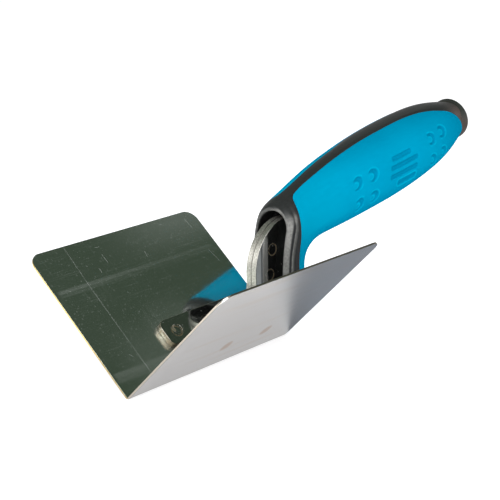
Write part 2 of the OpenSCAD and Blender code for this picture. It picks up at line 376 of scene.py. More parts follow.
# ---------------------------------------------------------------- charcoal rubber
def build_charcoal():
    tt = rows_for([(0, .06, 8), (.06, 2.6, 80), (2.6, 3.6, 80), (3.6, T_ARCH, 50), (T_ARCH, 4.5, 40), (4.5, 5.3, 50),
                   (5.3, 9.5, 130), (9.5, 11, 60), (11, 11.6, 45), (11.6, 11.9, 60), (11.9, 12, 6)])
    tt = np.unique(np.concatenate([tt, T_ARCH - np.geomspace(2e-5, .25, 40)]))
    m = 84
    V, F, base = [], [], 0
    n = len(tt)
    for side, part in ((1, PART_R), (-1, PART_L)):
        inner = np.where(tt < T_ARCH, np.radians(SLOT(tt)), 0)
        outer = np.radians(np.where(tt < T_TAIL, part(tt), 180))
        T, TH, P = strip(tt, side * inner, side * outer, m)
        e1, e2, N = surf_frame(T, TH)
        ds, dp = d_slot(P), d_part(P)
        dp = np.where(T > T_TAIL, 9, dp)
        depth = rolled(dp, EDGE_RUB)
        depth = np.maximum(depth, np.where(T < 0.5, rolled(np.maximum(P[..., 2] - 22.0, 0), EDGE_FOOT), 0))
        # crowned lip round the opening, then a crease and a low ridge that fade out over the arch
        fade = 1 - 0.75 * smooth(T, 2.9, 3.9)
        crease = 0.20 * np.exp(-((ds - 1.9) / 1.0) ** 2) - 0.36 * np.exp(-((ds - 3.75) / 0.70) ** 2) + 0.12 * np.exp(-((ds - 5.4) / 1.0) ** 2)
        crease = crease * smooth(dp, 0.3, 1.5)
        # crowned band along the top
        crown = 0.25 * (1 - smooth(dp, 0.2, 3.2)) * smooth(T, 4.6, 5.4) * (1 - smooth(T, 9.6, 10.6))
        out = crease * fade * np.where(T < T_ARCH + 1.5, 1, 0) * (1 - smooth(T, 3.9, 5.0)) - crown * 0.8
        Q = P - N * (depth - out)[..., None]
        V.append(Q.reshape(-1, 3))
        F += grid_faces(n, m, base)
        g0 = base
        base += n * m
        # skirt down the parting edge
        ring = P[:, -1] - N[:, -1] * 1.3
        V.append(ring)
        idx = g0 + np.arange(n) * m + m - 1
        F += [(idx[i], idx[i + 1], base + i + 1, base + i) for i in range(n - 1) if tt[i + 1] <= T_TAIL]
        base += n
        # walls of the opening, back to the core's front face
        k = int(np.sum(tt <= T_ARCH + 1e-9))
        edge = Q[:k, 0]
        z0 = RIM_Z
        phi = np.where(edge[:, 2] > z0, np.arctan2(np.maximum(edge[:, 2] - z0, 0) / RIM_B, np.abs(edge[:, 1]) / RIM_A), 0)
        R = rim(phi)
        low = edge[:, 2] <= z0
        R[low, 2] = edge[low, 2]
        R[low, 0] = rim_x(edge[low, 2])
        R[:, 1] *= -side
        # leave the outside along its own slope, arrive at the rim heading back
        into = edge - Q[:k, 3]
        into /= np.linalg.norm(into, axis=1)[:, None] + 1e-12
        gap = np.linalg.norm(R - edge, axis=1)[:, None]
        into[-3:] = into[-4]
        X = np.array([1.0, 0, 0])
        b1, b2 = edge + into * gap * .5, R - X * gap * .55
        prev = g0 + np.arange(k) * m
        for u in (.12, .26, .42, .58, .74, .88, 1.0, 'wall', 'back'):
            if u == 'wall':
                w_ = R + X * 1.2
            elif u == 'back':
                w_ = R.copy()
                w_[:, 0] = 106.6
            else:
                w_ = edge * (1 - u) ** 3 + 3 * b1 * u * (1 - u) ** 2 + 3 * b2 * u * u * (1 - u) + R * u ** 3
            V.append(w_)
            cur = base + np.arange(k)
            F += [(prev[i], prev[i + 1], cur[i + 1], cur[i]) for i in range(k - 1)]
            prev = cur
            base += k
        # foot of the collar, from its outside in to the wall
        foot = Q[0].copy()
        foot[:, 1] = -side * RIM_A
        V.append(foot)
        F += [(g0 + j, g0 + j + 1, base + j + 1, base + j) for j in range(m - 1)]
        base += m
        # the end under the cap, turned in
        ring = P[-1] - N[-1] * 3.0
        V.append(ring)
        last = g0 + (n - 1) * m
        F += [(last + j, last + j + 1, base + j + 1, base + j) for j in range(m - 1)]
        base += m
    return mesh_object("charcoal_rubber_skin", np.concatenate(V), F, merge=0.004)


# ---------------------------------------------------------------- blade
def build_blade():
    """One folded sheet: rows across the section, columns along the fold, with
    slightly eased edges."""
    c = 0.12
    t2 = BLADE_T / 2
    rm = FOLD_R - t2
    tangent = FOLD_Z * CH
    rows = []      # (section angle or None, s)
    arc_half = math.pi / 2 - HALF
    corner = [WING_W - CORNER_R + CORNER_R * math.sin(a) for a in np.linspace(0, math.pi / 2, 15)]
    flat = [tangent + 1.5, 14, 30, 46, 62]
    side_s = [s for s in flat] + corner
    # section: mid surface point, normal towards the inside, and how much the ends draw in
    sec = []
    for sgn in (-1, 1):
        part = []
        for s in side_s:
            k = np.array([sgn * SH, CH])
            nin = np.array([-sgn * CH, SH])
            d = s - (WING_W - CORNER_R)
            draw = CORNER_R - math.sqrt(max(CORNER_R ** 2 - d * d, 0)) if d > 0 else 0.0
            part.append((k * s + nin * t2, nin, draw, s))
        sec += part[::-1] if sgn < 0 else part
        if sgn < 0:
            for a in np.linspace(-arc_half, arc_half, 15):
                nin = np.array([-math.sin(a), math.cos(a)])
                sec.append((np.array([0, FOLD_Z]) - nin * rm, nin, 0.0, 0.0))
    # free edges run on to the sheet's end in the last row
    xs_mid = np.concatenate([[0.0, 2.0], np.linspace(10, 92, 9), [100.0, 102.0]]) / 102.0
    rings = []
    V, F = [], []
    R, C = len(sec), len(xs_mid)

    def layer(off, inset):
        out = []
        for i, (p, nin, draw, s) in enumerate(sec):
            q = p + nin * off
            if i in (0, R - 1):
                k = np.array([-SH if i == 0 else SH, CH])
                q = q - k * inset
            a = draw + inset
            x0, x1 = a, BLADE_L - a
            out.append([(x0 + (x1 - x0) * u, q[0], q[1]) for u in xs_mid])
        return np.array(out)
    layers = [layer(t2, c), layer(t2 - c * .3, c * .3), layer(t2 - c, 0), layer(-(t2 - c), 0), layer(-(t2 - c * .3), c * .3), layer(-t2, c)]
    for L in layers:
        V.append(L.reshape(-1, 3))
    F += grid_faces(R, C, 0)
    F += [tuple(reversed(f)) for f in grid_faces(R, C, 5 * R * C)]
    loop = [(i, 0) for i in range(R)] + [(R - 1, j) for j in range(1, C)] + [(i, C - 1) for i in range(R - 2, -1, -1)] + [(0, j) for j in range(C - 2, 0, -1)]
    for k in range(5):
        a, b = k * R * C, (k + 1) * R * C
        for q in range(len(loop)):
            i0, j0 = loop[q]
            i1, j1 = loop[(q + 1) % len(loop)]
            F.append((a + i0 * C + j0, a + i1 * C + j1, b + i1 * C + j1, b + i0 * C + j0))
    V = np.concatenate(V)
    used = np.zeros(len(V), bool)
    for f in F:
        used[list(f)] = True
    remap = -np.ones(len(V), int)
    remap[used] = np.arange(used.sum())
    return mesh_object("blade_sheet", V[used], [tuple(remap[list(f)]) for f in F], merge=0.0005, weighted=True, sharp=50)


# ---------------------------------------------------------------- tang
def arc(cx, cy, r, a0, a1, n):
    return [(cx + r * math.cos(math.radians(a0 + (a1 - a0) * i / n)), cy + r * math.sin(math.radians(a0 + (a1 - a0) * i / n)))
            for i in range(n + 1)]


def plate(outline, h0, h1, c, marks=(), mark_at=1, seg=3):
    """A plate with rounded edges and pressed weld rings on one face, as (vertices, faces)
    in its own u, v, h."""
    P = np.array(outline, float)
    area = 0.5 * np.sum(P[:, 0] * np.roll(P[:, 1], -1) - np.roll(P[:, 0], -1) * P[:, 1])
    if area < 0:
        P = P[::-1]
    d = np.roll(P, -1, 0) - P
    d /= np.linalg.norm(d, axis=1)[:, None]
    en = np.stack([d[:, 1], -d[:, 0]], 1)
    pv = np.roll(en, 1, 0)
    miter = (en + pv) / (1 + np.sum(en * pv, 1))[:, None]
    ang = np.linspace(0, math.pi / 2, seg + 1)
    prof = [(c * (1 - math.sin(a)), h0 + c * (1 - math.cos(a))) for a in ang]
    prof += [(c * (1 - math.sin(a)), h1 - c * (1 - math.cos(a))) for a in ang[::-1]]
    bm = bmesh.new()
    rings = [[bm.verts.new((*(P[i] - miter[i] * ins), h)) for i in range(len(P))] for ins, h in prof]
    n = len(P)
    for a, b in zip(rings, rings[1:]):
        for i in range(n):
            j = (i + 1) % n
            bm.faces.new((a[i], a[j], b[j], b[i]))

    def cap(ring, h, up, with_marks):
        edges = []
        for i in range(n):
            e = bm.edges.get((ring[i], ring[(i + 1) % n])) or bm.edges.new((ring[i], ring[(i + 1) % n]))
            edges.append(e)
        if with_marks:
            q = 40
            for (u, v, r, dep) in marks:
                prev = None
                for rr, dh in ((1.0, 0), (.95, .025), (.90, .02), (.84, -.10), (.76, -.6), (.68, -.9), (.45, -1), (.2, -.96)):
                    z = h + up * (dh * dep if dh < 0 else dh)
                    circ = [bm.verts.new((u + r * rr * math.cos(2 * math.pi * i / q), v + r * rr * math.sin(2 * math.pi * i / q), z)) for i in range(q)]
                    if prev is None:
                        edges += [bm.edges.new((circ[i], circ[(i + 1) % q])) for i in range(q)]
                    else:
                        for i in range(q):
                            j = (i + 1) % q
                            bm.faces.new((prev[i], prev[j], circ[j], circ[i]))
                    prev = circ
                bm.faces.new(prev)
            bmesh.ops.triangle_fill(bm, use_beauty=True, use_dissolve=False, edges=edges)
        else:
            bm.faces.new(ring)
    cap(rings[0], h0, -1, bool(marks) and mark_at == 0)
    cap(rings[-1], h1, 1, bool(marks) and mark_at == 1)
    bm.verts.index_update()
    V = np.array([v.co[:] for v in bm.verts])
    F = [tuple(v.index for v in f.verts) for f in bm.faces]
    bm.free()
    return V, F


TANG_T, FOOT_IN, FOOT_W = 2.8, 14.0, 12.5
SHANK = ([(71, 21)] + arc(71, 30.5, 9, -90, 0, 14) + arc(102.5, 33.5, 22.5, 180, 90, 36)
         + [(118, 58.6), (150, 66), (204, 76.5), (206.5, 74.5), (206.5, 70), (204, 68), (150, 56), (118, 50), (104, 44), (104, 21)])
FOOT = arc(39.2, FOOT_IN + 2.6, 2.6, 270, 180, 10) + arc(40.7, FOOT_IN + FOOT_W - 4.1, 4.1, 180, 90, 14) + arc(94, FOOT_IN + FOOT_W - 3, 3, 90, 0, 10) + [(97, FOOT_IN)]


def build_tang(side):
    k = np.array([side * SH, CH])
    n = np.array([-side * CH, SH])
    V, F = [], []

    def add(part, to3):
        v, f = part
        base = sum(len(a) for a in V)
        V.append(np.array([to3(*p) for p in v]))
        F.extend([tuple(base + i for i in q) for q in f])
    # shank: u, v are x, z and h is the distance from the centre plane
    add(plate(SHANK, 0.02, TANG_T, 0.28, [(92, 43.3, 3.1, .14), (89.7, 32.1, 3.1, .14)]), lambda u, v, h: (u, side * h, v))
    # foot: u, v are x and the distance from the fold, h is the height over the wing
    add(plate(FOOT, BLADE_T, BLADE_T + TANG_T, 0.35, [(44.5, FOOT_IN + 6.25, 3.1, .3), (70.5, FOOT_IN + 6.25, 3.1, .3)]),
        lambda u, v, h: (u, *(k * v + n * h)))
    # bracket from the foot up to the shank
    w = lambda s, h: np.array([s * SH, s * CH]) + h * np.array([-CH, SH])
    s0, s1 = FOOT_IN + .2, FOOT_IN + TANG_T
    tn = math.tan(HALF)
    sec = [w(s0, BLADE_T + 1), w(s0, s0 * tn), (0.05, 22), (2, 22), w(s1, s1 * tn - TANG_T / CH - .5), w(s1, BLADE_T + 1)]
    add(plate([tuple(p) for p in sec], 58.0, 96.0, 0.25), lambda u, v, h: (h, side * u, v))
    name = "tang_plate_%s_formed" % ("left" if side > 0 else "right")
    return mesh_object(name, np.concatenate(V), F, weighted=True, sharp=50)


# ---------------------------------------------------------------- end cap
def build_cap():
    a = math.radians(79)
    ax = np.array([math.sin(a), 0, math.cos(a)])
    up = np.array([-math.cos(a), 0, math.sin(a)])
    ey = np.array([0, 1.0, 0])
    o = np.array([242.7, 0, 79.6])
    prof = [(0, -16.5), (3.2, -16.5), (4, -15.6), (4, -5.2), (8.9, -5.2), (9.5, -5.0), (9.95, -4.6), (10.25, -4.1), (10.45, -3.5), (10.56, -2.8),
            (10.6, -2.1), (10.6, -1.2), (10.58, -.6), (10.5, -.1), (10.33, .35), (10.05, .75), (9.7, 1.08), (9.3, 1.32),
            (8.9, 1.42), (8.75, 1.40), (8.6, 1.5), (8.2, 1.85), (7.2, 2.33), (5.8, 2.80), (4.2, 3.15), (2.4, 3.38), (1.1, 3.46), (0, 3.48)]
    q = 96
    V = []
    for r, h in prof:
        for i in range(q):
            b = 2 * math.pi * i / q
            V.append(o + ax * h + up * (r * math.cos(b)) + ey * (r * math.sin(b)))
    return mesh_object("end_cap_moulding", np.array(V), grid_faces(len(prof), q, close=True), merge=0.0005, sharp=60)


# ---------------------------------------------------------------- shader helpers
class Mat:
    def __init__(self, name, **sockets):
        self.m = bpy.data.materials.new(name)
        self.m.use_nodes = True
        self.nt = self.m.node_tree
        self.b = self.nt.nodes["Principled BSDF"]
        self.set(**sockets)

    def set(self, **sockets):
        for k, v in sockets.items():
            s = self.b.inputs[k.replace("_", " ")]
            if isinstance(v, bpy.types.NodeSocket):
                self.nt.links.new(v, s)
            else:
                s.default_value = v

    def node(self, kind, **kw):
        n = self.nt.nodes.new("ShaderNode" + kind)
        for k, v in kw.items():
            setattr(n, k, v)
        return n

    def put(self, sock, v):
        if isinstance(v, bpy.types.NodeSocket):
            self.nt.links.new(v, sock)
        elif v is not None:
            sock.default_value = v

    def math(self, op, a, b=None, c=None, clamp=False):
        n = self.node("Math", operation=op, use_clamp=clamp)
        for s, v in zip(n.inputs, (a, b, c)):
            self.put(s, v)
        return n.outputs[0]

    def vec(self, op, a, b=None, scale=None):
        n = self.node("VectorMath", operation=op)
        self.put(n.inputs[0], a)
        self.put(n.inputs[1], b)
        if scale is not None:
            self.put(n.inputs["Scale"], scale)
        return n.outputs["Value"] if op in ("DOT_PRODUCT", "LENGTH", "DISTANCE") else n.outputs["Vector"]

    def range(self, v, a, b, c=0.0, d=1.0, kind="SMOOTHSTEP"):
        n = self.node("MapRange", interpolation_type=kind)
        for s, x in zip(n.inputs, (v, a, b, c, d)):
            self.put(s, x)
        return n.outputs[0]

    def mix(self, f, a, b):
        n = self.node("Mix", data_type="RGBA")
        self.put(n.inputs[0], f)
        self.put(n.inputs[6], (*a, 1) if isinstance(a, tuple) else a)
        self.put(n.inputs[7], (*b, 1) if isinstance(b, tuple) else b)
        return n.outputs[2]

    def lerp(self, f, a, b):
        n = self.node("Mix", data_type="FLOAT")
        self.put(n.inputs[0], f)
        self.put(n.inputs[2], a)
        self.put(n.inputs[3], b)
        return n.outputs[0]

    def obj(self):
        return self.node("TexCoord").outputs["Object"]

    def tool(self):
        """Object coordinates in mm in the tool frame."""
        return self.vec("ADD", self.vec("SCALE", self.obj(), scale=1000.0), (123.3, 0.0, DROP))

    def sep(self, v):
        return self.node_link("SeparateXYZ", v)

    def node_link(self, kind, v):
        n = self.node(kind)
        self.nt.links.new(v, n.inputs[0])
        return n.outputs

    def comb(self, x, y, z):
        n = self.node("CombineXYZ")
        for s, v in zip(n.inputs, (x, y, z)):
            self.put(s, v)
        return n.outputs[0]

    def noise(self, v, scale, detail=2.0, rough=0.5, stretch=None):
        if stretch is not None:
            v = self.vec("MULTIPLY", v, stretch)
        n = self.node("TexNoise")
        self.put(n.inputs["Vector"], v)
        n.inputs["Scale"].default_value = scale
        n.inputs["Detail"].default_value = detail
        n.inputs["Roughness"].default_value = rough
        return n.outputs["Fac"] if "Fac" in n.outputs else n.outputs[0]

    def specks(self, v, scale, radius, share):
        """Small round dots in a share of the cells."""
        n = self.node("TexVoronoi")
        self.put(n.inputs["Vector"], v)
        n.inputs["Scale"].default_value = scale
        dots = self.range(n.outputs["Distance"], radius, radius * .4)
        pick = self.math("GREATER_THAN", self.node_link("SeparateColor", n.outputs["Color"])[0], 1 - share)
        return self.math("MULTIPLY", dots, pick)

    def segment(self, p, a, b, width):
        """1 on the line from a to b in p's plane, fading over width."""
        a, b = np.array([*a, 0.0]), np.array([*b, 0.0])
        ba = b - a
        pa = self.vec("SUBTRACT", p, tuple(a))
        h = self.math("MULTIPLY", self.vec("DOT_PRODUCT", pa, tuple(ba)), 1 / float(ba @ ba), clamp=True)
        near = self.vec("SUBTRACT", pa, self.vec("SCALE", tuple(ba), scale=h))
        return self.range(self.vec("LENGTH", near), width, width * .25)

    def bump(self, h, strength, dist):
        n = self.node("Bump")
        n.inputs["Strength"].default_value = strength
        n.inputs["Distance"].default_value = dist
        self.nt.links.new(h, n.inputs["Height"])
        self.nt.links.new(n.outputs[0], self.b.inputs["Normal"])
        return n.outputs[0]

    def normal(self):
        return self.sep(self.node("NewGeometry").outputs["True Normal"])

    def add(self, *v):
        out = v[0]
        for x in v[1:]:
            out = self.math("ADD", out, x)
        return out

    def mul(self, *v):
        out = v[0]
        for x in v[1:]:
            out = self.math("MULTIPLY", out, x)
        return out


def blade_coords(s):
    """Along the fold, away from the fold, the height over the wing, the sign of y, and
    how far the surface faces into the trough (1) or out of it (-1)."""
    P = s.tool()
    x, y, z = s.sep(P)[0:3]
    sg = s.math("SIGN", y)
    ay = s.math("ABSOLUTE", y)
    w = s.add(s.mul(ay, SH), s.mul(z, CH))
    h = s.math("SUBTRACT", s.mul(z, SH), s.mul(ay, CH))
    nx, ny, nz = s.normal()[0:3]
    face = s.math("SUBTRACT", s.mul(nz, SH), s.mul(s.math("MULTIPLY", sg, ny), CH))
    return P, x, y, z, sg, w, h, face, (nx, ny, nz)


def steel_blade():
    s = Mat("polished_blade_steel", Metallic=1.0)
    P, x, y, z, sg, w, h, face, (nx, ny, nz) = blade_coords(s)
    q = s.comb(x, w, s.mul(sg, 30.0))
    flat = s.comb(x, w, 0.0)
    left = s.range(y, -0.2, 0.2)
    inner = s.range(face, 0.3, 0.7)
    outer = s.range(face, -0.3, -0.7)
    # scratches and handling marks, mostly across the blade
    lines = s.range(s.noise(q, 1.0, 2.0, .5, (2.6, .045, 1.0)), .60, .72)
    lines2 = s.range(s.noise(q, 1.0, 2.0, .5, (.04, 2.2, 1.0)), .60, .72)
    patch = s.range(s.noise(q, .09, 2.0), .45, .62)
    long1 = s.math("MAXIMUM", s.segment(flat, SCR[0][0], SCR[0][1], .16), s.segment(flat, SCR[1][0], SCR[1][1], .20))
    long1 = s.mul(long1, s.range(s.noise(q, 1.0, 2.0, .5, (.2, .25, 1.0)), .30, .55, .45, 1.0))
    short = None
    for a, b in SCR[2:]:
        one = s.segment(flat, a, b, .15)
        short = one if short is None else s.math("MAXIMUM", short, one)
    short = s.mul(short, left)
    long1 = s.mul(long1, left)
    # faint smeared bands along the blade
    grain = s.noise(q, 1.0, 3.0, .6, (.10, 1.6, 1.0))
    wob = s.mul(s.math("SUBTRACT", s.noise(q, .06, 2.0), .5), 1.6)
    b1 = s.math("MAXIMUM", s.segment(flat, BAND[0][0], BAND[0][1], 1.5), s.mul(s.range(s.math("ABSOLUTE", s.add(w, s.mul(wob, -1.0), -53.0)), 1.1, .2), .45))
    b1 = s.mul(b1, s.range(x, 10.0, 75.0, 1.0, .40), s.range(x, 1.0, 4.0))
    b2 = s.range(s.math("ABSOLUTE", s.math("SUBTRACT", s.add(w, s.mul(wob, .6)), 9.9)), 3.0, 1.9)
    b2 = s.mul(b2, s.range(x, .3, 2.5), s.range(x, 60.0, 30.0), s.range(w, 14.0, 7.0, 1.0, .55))
    band = s.mul(s.math("MAXIMUM", b1, b2), s.range(grain, .28, .60, .35, 1.0), left)
    dots = s.specks(q, .20, .085, .30)
    dots2 = s.specks(s.vec("ADD", q, (31.0, 17.0, 5.0)), .085, .050, .5)
    dots3 = s.specks(s.vec("ADD", q, (3.0, 7.0, 1.0)), .60, .34, .34)
    marks = s.math("MAXIMUM", s.math("MAXIMUM", s.mul(long1, .22), s.mul(short, .28)), s.mul(lines, patch, .045))
    marks = s.math("MAXIMUM", marks, s.math("MAXIMUM", s.mul(dots, .20), s.mul(dots2, .34)))
    marks = s.math("MAXIMUM", marks, s.math("MAXIMUM", s.mul(lines2, .035), s.mul(dots3, .055)))
    # painted light: the mirror is dulled near the foot and towards the free edge at the back, so it reads lighter
    # there; the smeared bands and the fine noise are haze, and it is also dulled near the fold
    painted_light_near_foot = s.range(s.vec("DISTANCE", flat, (50.0, 19.0, 0.0)), 26.0, 8.0)
    haze_and_painted_sheen = s.add(s.mul(band, .075), s.mul(painted_light_near_foot, .026), s.mul(s.range(s.noise(q, 1.6, 3.0, .7), .42, .68), .020))
    haze_and_painted_sheen = s.add(haze_and_painted_sheen, .001, s.mul(s.range(w, 50.0, 76.0), s.range(x, 30.0, 95.0), .085), s.mul(s.range(w, 38.0, 8.0), s.range(x, 3.0, 25.0), .045))
    dull_and_painted_sheen = s.math("MULTIPLY", s.add(marks, haze_and_painted_sheen), inner, clamp=True)
    # outside: satin, faint lengthways streaks, and the heat marks of the spot welds
    streak = s.noise(q, 1.0, 4.0, .6, (.02, 1.3, 1.0))
    streak2 = s.noise(q, 1.0, 2.0, .5, (.012, .25, 1.0))
    soft = s.noise(q, .03, 2.0)
    weld = None
    for u in (44.5, 70.5):
        d = s.vec("LENGTH", s.vec("MULTIPLY", s.vec("SUBTRACT", flat, (u + 1.6, 19.2, 0.0)), (1.0, .9, 1.0)))
        ring = s.mul(s.range(s.math("ABSOLUTE", s.math("SUBTRACT", d, 2.7)), .8, .1), .8)
        ring = s.math("MAXIMUM", ring, s.mul(s.range(d, 3.0, 1.8), .85))
        weld = ring if weld is None else s.math("MAXIMUM", weld, ring)
    weld = s.mul(weld, outer, s.range(s.noise(q, .5, 2.0), .10, .35))
    col_in = s.mix(soft, INNER_A, INNER_B)
    col_out = s.mix(s.range(streak, .3, .7), OUTER_A, OUTER_B)
    col_out = s.mix(s.mul(s.range(streak2, .52, .68), .38), col_out, (.255, .205, .165))
    col_out = s.mix(s.mul(weld, 1.0), col_out, (.185, .100, .048))
    col_edge = s.mix(s.mul(left, s.range(nx, -.5, -.9)), (.34, .30, .25), (.36, .25, .07))
    # painted highlight: a near-white glint on the right wing's rounded front corner edge
    col_edge = s.mix(s.mul(s.range(y, .2, -.2), s.range(s.math("ABSOLUTE", s.add(nx, .70)), .20, .07)), col_edge, (.97, .97, .95))
    col = s.mix(inner, col_edge, col_in)
    col = s.mix(outer, col, col_out)
    grit = s.noise(q, 1.8, 3.0, .7)
    col = s.mix(s.mul(inner, s.range(grit, .35, .70), .14), col, (.50, .53, .49))
    # painted reflection: a dulled, rougher patch by the foot's toe stands in for the foot's blurred reflection
    glow = s.range(s.vec("LENGTH", s.vec("MULTIPLY", s.vec("SUBTRACT", flat, (36.4, 19.0, 0.0)), (1.0, .46, 1.0))), 4.6, 1.6)
    dull_and_painted_sheen = s.math("MAXIMUM", dull_and_painted_sheen, s.mul(glow, inner, .10))
    rough = s.lerp(inner, .34, s.add(.075, s.mul(s.range(s.noise(q, .25, 4.0, .6), .4, .8), .05)))
    rough = s.add(rough, s.mul(glow, inner, .20))
    rough = s.lerp(outer, rough, s.add(.20, s.mul(streak, .10)))
    s.set(Base_Color=col, Roughness=rough, Metallic=s.math("SUBTRACT", 1.0, dull_and_painted_sheen))
    fine = s.noise(q, 1.0, 3.0, .6, (.06, 2.8, 1.0))
    waves = s.noise(q, .045, 2.0)
    height = s.add(s.mul(fine, .0004), s.mul(waves, .010))
    s.bump(height, 1.0, .001)
    return s.m


def steel_tang():
    s = Mat("tang_steel", Metallic=1.0)
    P, x, y, z, sg, w, h, face, (nx, ny, nz) = blade_coords(s)
    along = s.math("ABSOLUTE", s.add(s.mul(s.math("MULTIPLY", sg, ny), SH), s.mul(nz, CH)))
    rolled_ = s.math("MAXIMUM", s.range(s.math("ABSOLUTE", ny), .90, .97), s.range(s.math("ABSOLUTE", face), .90, .97))
    rolled_ = s.math("MAXIMUM", rolled_, s.mul(s.range(along, .90, .97), s.range(h, 4.0, 4.4)))
    # sheared edges: coarse, bright and pitted, with brighter, warmer streaks towards the toe
    g1 = s.noise(P, 1.6, 4.0, .65)
    g2 = s.noise(P, 1.0, 2.0, .5, (.5, 3.0, .5))
    pits = s.specks(P, 1.1, .33, .55)
    edge_col = s.mix(s.range(g1, .35, .7), (.46, .44, .39), (.77, .755, .71))
    streak = s.range(s.noise(P, 1.3, 3.0, .7), .36, .62)
    edge_col = s.mix(s.mul(s.range(x, 47.0, 43.0), streak, .80), edge_col, (.98, .90, .76))
    # darker brown towards the front of the foot, in random patches and along the edges nearest the fold; the darkening
    # along those edges is painted shade
    edge_col = s.mix(s.mul(s.range(x, 74.0, 66.0), s.math("MAXIMUM", s.range(g1, .66, .38), s.range(w, 21.0, 16.5)), .80), edge_col, (.24, .17, .10))
    edge_col = s.mix(s.mul(pits, .75), edge_col, (.16, .14, .11))
    joint = s.mul(s.range(s.math("ABSOLUTE", y), .50, .14), s.range(x, 78.0, 82.0), s.range(g1, .30, .55))
    edge_col = s.mix(s.mul(joint, .8), edge_col, (.12, .11, .09))
    # rolled faces
    scr = s.range(s.noise(P, 1.0, 3.0, .6, (.10, 1.0, 1.6)), .62, .75)
    dots = s.math("MAXIMUM", s.specks(P, .55, .12, .5), s.mul(s.specks(s.vec("ADD", P, (9.0, 4.0, 2.0)), 1.2, .20, .35), .45))
    face_col = s.mix(s.noise(P, .3, 2.0), (.36, .38, .36), (.50, .52, .49))
    face_col = s.mix(s.math("MAXIMUM", s.mul(dots, .8), s.mul(scr, .10)), face_col, (.75, .76, .72))
    # heat-tinted rings of the spot welds
    xz = s.comb(x, 0.0, z)
    flat = s.comb(x, w, 0.0)
    ring = None
    for pt, src in (((92, 0, 43.3), xz), ((89.7, 0, 32.1), xz), ((43.4, 19.6, 0), flat), ((70.5, 20.25, 0), flat)):
        d = s.vec("DISTANCE", src, tuple(float(v) for v in pt))
        r = s.range(s.math("ABSOLUTE", s.math("SUBTRACT", d, 2.65)), .62, .12)
        on = s.range(s.math("ABSOLUTE", ny), .7, .8) if src is xz else s.range(face, .7, .8)
        r = s.mul(r, on)
        ring = r if ring is None else s.math("MAXIMUM", ring, r)
    ring = s.mul(ring, s.range(s.noise(P, 1.3, 3.0, .6), .30, .52))
    # painted highlight: a small bright spot by the foot's front weld ring
    spot = s.mul(s.range(s.vec("DISTANCE", flat, (42.4, 20.6, 0.0)), 1.7, .9), s.range(face, .7, .8), s.range(x, 60.0, 56.0))
    face_col = s.mix(s.mul(ring, .9), face_col, (.30, .22, .115))
    face_col = s.mix(s.mul(spot, .8), face_col, (.55, .47, .30))
    ring = s.math("MAXIMUM", ring, spot)
    # painted highlight: a lighter strip down the shank's sides, with a painted shade line just in front of it
    off = s.math("SUBTRACT", x, s.add(84.5, s.mul(s.math("SUBTRACT", z, 30.0), .035)))
    on_side = s.mul(s.range(s.math("ABSOLUTE", ny), .75, .9), s.range(z, 52.0, 47.0))
    painted_highlight_strip = s.mul(on_side, s.range(off, -.1, .5), s.range(off, 4.2, 3.3), s.range(g1, .2, .6, .8, 1.0))
    dark = s.mul(on_side, s.range(s.math("ABSOLUTE", s.add(off, .45)), .85, .30))
    face_col = s.mix(s.mul(painted_highlight_strip, .85), face_col, (.36, .355, .335))
    face_col = s.mix(s.mul(dark, .75), face_col, (.06, .06, .06))
    s.set(Base_Color=s.mix(rolled_, edge_col, face_col),
          Roughness=s.lerp(rolled_, s.add(.34, s.mul(g1, .25)), s.add(.045, s.mul(s.math("MAXIMUM", s.mul(ring, .85), dots), .35))),
          Metallic=s.math("SUBTRACT", 1.0, s.mul(rolled_, s.add(s.mul(dots, .42), s.mul(ring, .17), s.mul(painted_highlight_strip, .36), .012))))
    height = s.add(s.mul(s.lerp(rolled_, .05, .0), g1), s.mul(s.lerp(rolled_, -.10, .0), pits), s.mul(s.lerp(rolled_, .03, .0), g2),
                   s.mul(scr, -.003), s.mul(ring, .003))
    s.bump(height, 1.0, .001)
    return s.m


def steel_pin():
    s = Mat("pin_steel_turned", Metallic=1.0)
    P = s.tool()
    g = s.noise(P, 1.0, 3.0, .6, (.4, 3.0, .4))
    s.set(Base_Color=s.mix(g, (.42, .42, .41), (.66, .66, .64)), Roughness=s.add(.22, s.mul(g, .2)))
    s.bump(g, .3, .00005)
    return s.m


def core_plastic():
    s = Mat("core_black_plastic")
    P = s.tool()
    g = s.noise(P, .8, 4.0, .6)
    s.set(Base_Color=s.mix(g, (.0045, .0045, .005), (.010, .010, .011)), Roughness=s.add(.45, s.mul(g, .25)))
    s.b.inputs["Specular IOR Level"].default_value = .25
    s.bump(g, .4, .0001)
    return s.m


